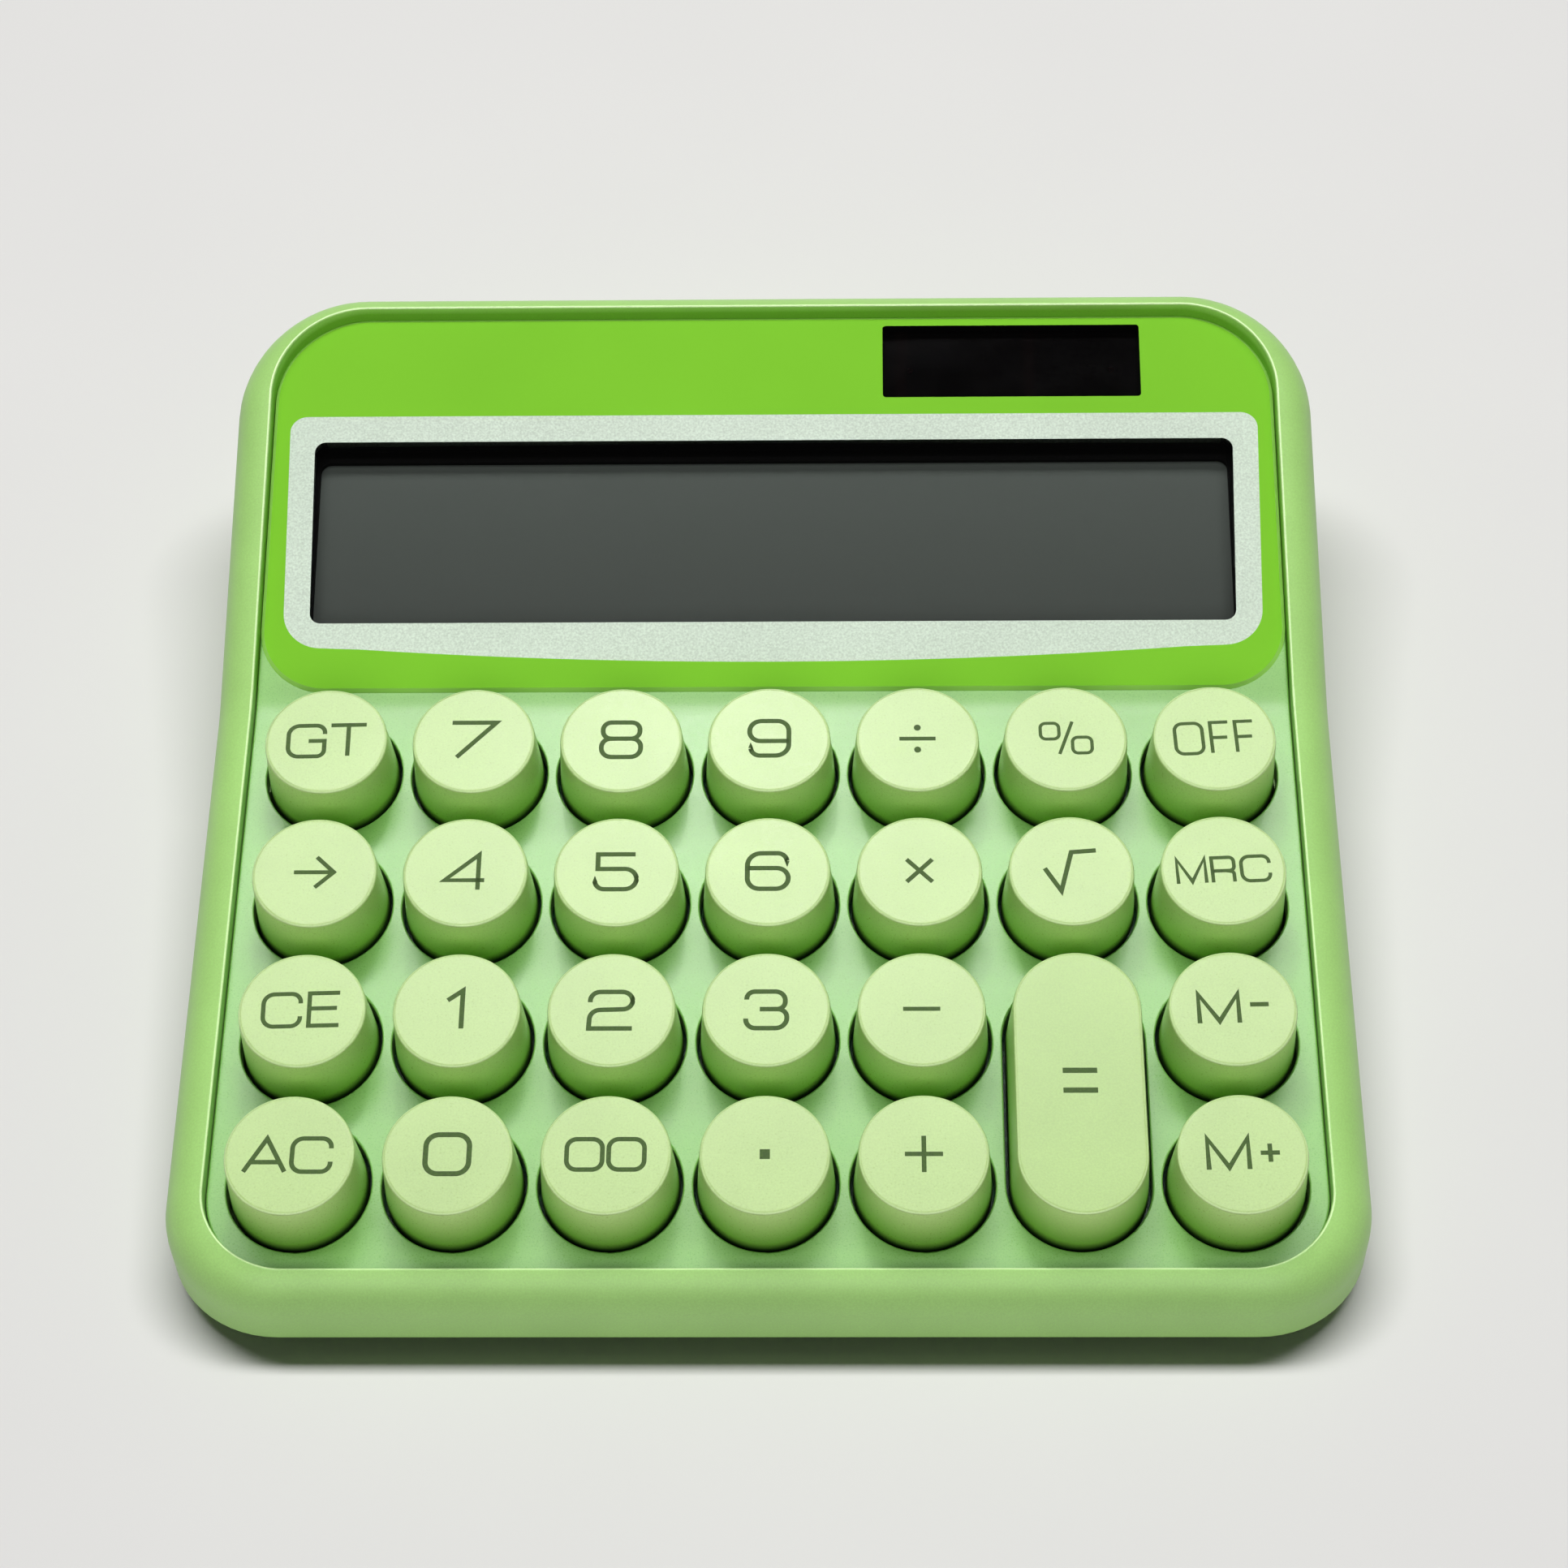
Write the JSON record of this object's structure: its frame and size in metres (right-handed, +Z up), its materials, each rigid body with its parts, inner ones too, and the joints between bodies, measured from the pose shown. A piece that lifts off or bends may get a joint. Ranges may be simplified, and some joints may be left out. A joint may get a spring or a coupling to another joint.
{
  "type": "desktop calculator",
  "caption": "Square wedge-shaped desk calculator with a sloped deck of tall round keys, a long equals key, a raised display under a glossy lens and a solar cell.",
  "frame": {"origin": "on the table under the middle of the case", "axes": "+X to the right as the user sees it, +Y from the front edge to the display, +Z up"},
  "size_m": [0.155, 0.1524, 0.0406],
  "materials": {
    "case_green": "satin",
    "base_green": "fine matt grain",
    "deck_pearl": "pearl with a fine grain",
    "key_cream": "smooth matt",
    "key_green": "smooth matt",
    "lens_lime": "polished, printed from behind, clear over the display",
    "lcd_glass": "satin polariser",
    "black_plastic": "moulded",
    "white_plastic": "moulded",
    "contact_rubber": "striped",
    "board_green": "solder resist",
    "black_epoxy": "cast",
    "can_aluminium": "drawn",
    "solar_glass": "polished",
    "wire_jacket": "smooth",
    "spring_steel": "drawn wire",
    "screw_steel": "zinc plated",
    "cell_jacket": "printed sleeve",
    "foot_rubber": "matt"
  },
  "bodies": {
    "case": {"battery_cell": "cell_jacket", "battery_contact": "spring_steel", "battery_leads": "wire_jacket", "battery_spring": "spring_steel", "board_ribbon": "white_plastic", "board_screws": "screw_steel", "bottom_cover": "base_green", "capacitor": "can_aluminium", "case_screws": "screw_steel", "controller_chip": "black_epoxy", "display_board": "board_green", "display_lens": "lens_lime", "display_screws": "screw_steel", "equals_guides": "white_plastic", "face_plate": "deck_pearl", "key_board": "board_green", "key_springs": "spring_steel", "lcd_contact_strip": "contact_rubber", "lcd_holder": "black_plastic", "lcd_panel": "lcd_glass", "rubber_feet": "foot_rubber", "solar_cell": "solar_glass", "solar_leads": "wire_jacket", "switch_housings": "black_plastic", "top_cover": "case_green"},
    "key_equals_body": {"key_equals": "key_green"},
    "key_gt_body": {"key_gt": "key_cream"},
    "key_7_body": {"key_7": "key_cream"},
    "key_8_body": {"key_8": "key_cream"},
    "key_9_body": {"key_9": "key_cream"},
    "key_divide_body": {"key_divide": "key_cream"},
    "key_percent_body": {"key_percent": "key_cream"},
    "key_off_body": {"key_off": "key_cream"},
    "key_backspace_body": {"key_backspace": "key_cream"},
    "key_4_body": {"key_4": "key_cream"},
    "key_5_body": {"key_5": "key_cream"},
    "key_6_body": {"key_6": "key_cream"},
    "key_multiply_body": {"key_multiply": "key_cream"},
    "key_root_body": {"key_root": "key_cream"},
    "key_mrc_body": {"key_mrc": "key_cream"},
    "key_ce_body": {"key_ce": "key_cream"},
    "key_1_body": {"key_1": "key_cream"},
    "key_2_body": {"key_2": "key_cream"},
    "key_3_body": {"key_3": "key_cream"},
    "key_minus_body": {"key_minus": "key_cream"},
    "key_m_minus_body": {"key_m_minus": "key_cream"},
    "key_ac_body": {"key_ac": "key_cream"},
    "key_0_body": {"key_0": "key_cream"},
    "key_00_body": {"key_00": "key_cream"},
    "key_point_body": {"key_point": "key_cream"},
    "key_plus_body": {"key_plus": "key_cream"},
    "key_m_plus_body": {"key_m_plus": "key_cream"},
    "door": {"battery_door": "base_green"}
  },
  "joints": [
    {"name": "key_equals_press", "type": "slide", "parent": "case", "child": "key_equals_body", "axis": [0, 0.1045, -0.9945], "range_m": [0, 0.003], "stiffness_N_per_m": 150, "springref_m": -0.002, "deforming": ["key_springs"]},
    {"name": "key_gt_press", "type": "slide", "parent": "case", "child": "key_gt_body", "axis": [0, 0.1045, -0.9945], "range_m": [0, 0.003], "stiffness_N_per_m": 150, "springref_m": -0.002, "deforming": ["key_springs"]},
    {"name": "key_7_press", "type": "slide", "parent": "case", "child": "key_7_body", "axis": [0, 0.1045, -0.9945], "range_m": [0, 0.003], "stiffness_N_per_m": 150, "springref_m": -0.002, "deforming": ["key_springs"]},
    {"name": "key_8_press", "type": "slide", "parent": "case", "child": "key_8_body", "axis": [0, 0.1045, -0.9945], "range_m": [0, 0.003], "stiffness_N_per_m": 150, "springref_m": -0.002, "deforming": ["key_springs"]},
    {"name": "key_9_press", "type": "slide", "parent": "case", "child": "key_9_body", "axis": [0, 0.1045, -0.9945], "range_m": [0, 0.003], "stiffness_N_per_m": 150, "springref_m": -0.002, "deforming": ["key_springs"]},
    {"name": "key_divide_press", "type": "slide", "parent": "case", "child": "key_divide_body", "axis": [0, 0.1045, -0.9945], "range_m": [0, 0.003], "stiffness_N_per_m": 150, "springref_m": -0.002, "deforming": ["key_springs"]},
    {"name": "key_percent_press", "type": "slide", "parent": "case", "child": "key_percent_body", "axis": [0, 0.1045, -0.9945], "range_m": [0, 0.003], "stiffness_N_per_m": 150, "springref_m": -0.002, "deforming": ["key_springs"]},
    {"name": "key_off_press", "type": "slide", "parent": "case", "child": "key_off_body", "axis": [0, 0.1045, -0.9945], "range_m": [0, 0.003], "stiffness_N_per_m": 150, "springref_m": -0.002, "deforming": ["key_springs"]},
    {"name": "key_backspace_press", "type": "slide", "parent": "case", "child": "key_backspace_body", "axis": [0, 0.1045, -0.9945], "range_m": [0, 0.003], "stiffness_N_per_m": 150, "springref_m": -0.002, "deforming": ["key_springs"]},
    {"name": "key_4_press", "type": "slide", "parent": "case", "child": "key_4_body", "axis": [0, 0.1045, -0.9945], "range_m": [0, 0.003], "stiffness_N_per_m": 150, "springref_m": -0.002, "deforming": ["key_springs"]},
    {"name": "key_5_press", "type": "slide", "parent": "case", "child": "key_5_body", "axis": [0, 0.1045, -0.9945], "range_m": [0, 0.003], "stiffness_N_per_m": 150, "springref_m": -0.002, "deforming": ["key_springs"]},
    {"name": "key_6_press", "type": "slide", "parent": "case", "child": "key_6_body", "axis": [0, 0.1045, -0.9945], "range_m": [0, 0.003], "stiffness_N_per_m": 150, "springref_m": -0.002, "deforming": ["key_springs"]},
    {"name": "key_multiply_press", "type": "slide", "parent": "case", "child": "key_multiply_body", "axis": [0, 0.1045, -0.9945], "range_m": [0, 0.003], "stiffness_N_per_m": 150, "springref_m": -0.002, "deforming": ["key_springs"]},
    {"name": "key_root_press", "type": "slide", "parent": "case", "child": "key_root_body", "axis": [0, 0.1045, -0.9945], "range_m": [0, 0.003], "stiffness_N_per_m": 150, "springref_m": -0.002, "deforming": ["key_springs"]},
    {"name": "key_mrc_press", "type": "slide", "parent": "case", "child": "key_mrc_body", "axis": [0, 0.1045, -0.9945], "range_m": [0, 0.003], "stiffness_N_per_m": 150, "springref_m": -0.002, "deforming": ["key_springs"]},
    {"name": "key_ce_press", "type": "slide", "parent": "case", "child": "key_ce_body", "axis": [0, 0.1045, -0.9945], "range_m": [0, 0.003], "stiffness_N_per_m": 150, "springref_m": -0.002, "deforming": ["key_springs"]},
    {"name": "key_1_press", "type": "slide", "parent": "case", "child": "key_1_body", "axis": [0, 0.1045, -0.9945], "range_m": [0, 0.003], "stiffness_N_per_m": 150, "springref_m": -0.002, "deforming": ["key_springs"]},
    {"name": "key_2_press", "type": "slide", "parent": "case", "child": "key_2_body", "axis": [0, 0.1045, -0.9945], "range_m": [0, 0.003], "stiffness_N_per_m": 150, "springref_m": -0.002, "deforming": ["key_springs"]},
    {"name": "key_3_press", "type": "slide", "parent": "case", "child": "key_3_body", "axis": [0, 0.1045, -0.9945], "range_m": [0, 0.003], "stiffness_N_per_m": 150, "springref_m": -0.002, "deforming": ["key_springs"]},
    {"name": "key_minus_press", "type": "slide", "parent": "case", "child": "key_minus_body", "axis": [0, 0.1045, -0.9945], "range_m": [0, 0.003], "stiffness_N_per_m": 150, "springref_m": -0.002, "deforming": ["key_springs"]},
    {"name": "key_m_minus_press", "type": "slide", "parent": "case", "child": "key_m_minus_body", "axis": [0, 0.1045, -0.9945], "range_m": [0, 0.003], "stiffness_N_per_m": 150, "springref_m": -0.002, "deforming": ["key_springs"]},
    {"name": "key_ac_press", "type": "slide", "parent": "case", "child": "key_ac_body", "axis": [0, 0.1045, -0.9945], "range_m": [0, 0.003], "stiffness_N_per_m": 150, "springref_m": -0.002, "deforming": ["key_springs"]},
    {"name": "key_0_press", "type": "slide", "parent": "case", "child": "key_0_body", "axis": [0, 0.1045, -0.9945], "range_m": [0, 0.003], "stiffness_N_per_m": 150, "springref_m": -0.002, "deforming": ["key_springs"]},
    {"name": "key_00_press", "type": "slide", "parent": "case", "child": "key_00_body", "axis": [0, 0.1045, -0.9945], "range_m": [0, 0.003], "stiffness_N_per_m": 150, "springref_m": -0.002, "deforming": ["key_springs"]},
    {"name": "key_point_press", "type": "slide", "parent": "case", "child": "key_point_body", "axis": [0, 0.1045, -0.9945], "range_m": [0, 0.003], "stiffness_N_per_m": 150, "springref_m": -0.002, "deforming": ["key_springs"]},
    {"name": "key_plus_press", "type": "slide", "parent": "case", "child": "key_plus_body", "axis": [0, 0.1045, -0.9945], "range_m": [0, 0.003], "stiffness_N_per_m": 150, "springref_m": -0.002, "deforming": ["key_springs"]},
    {"name": "key_m_plus_press", "type": "slide", "parent": "case", "child": "key_m_plus_body", "axis": [0, 0.1045, -0.9945], "range_m": [0, 0.003], "stiffness_N_per_m": 150, "springref_m": -0.002, "deforming": ["key_springs"]},
    {"name": "battery_door_slide", "type": "slide", "parent": "case", "child": "door", "axis": [0, 1, 0], "range_m": [0, 0.031]}
  ]
}
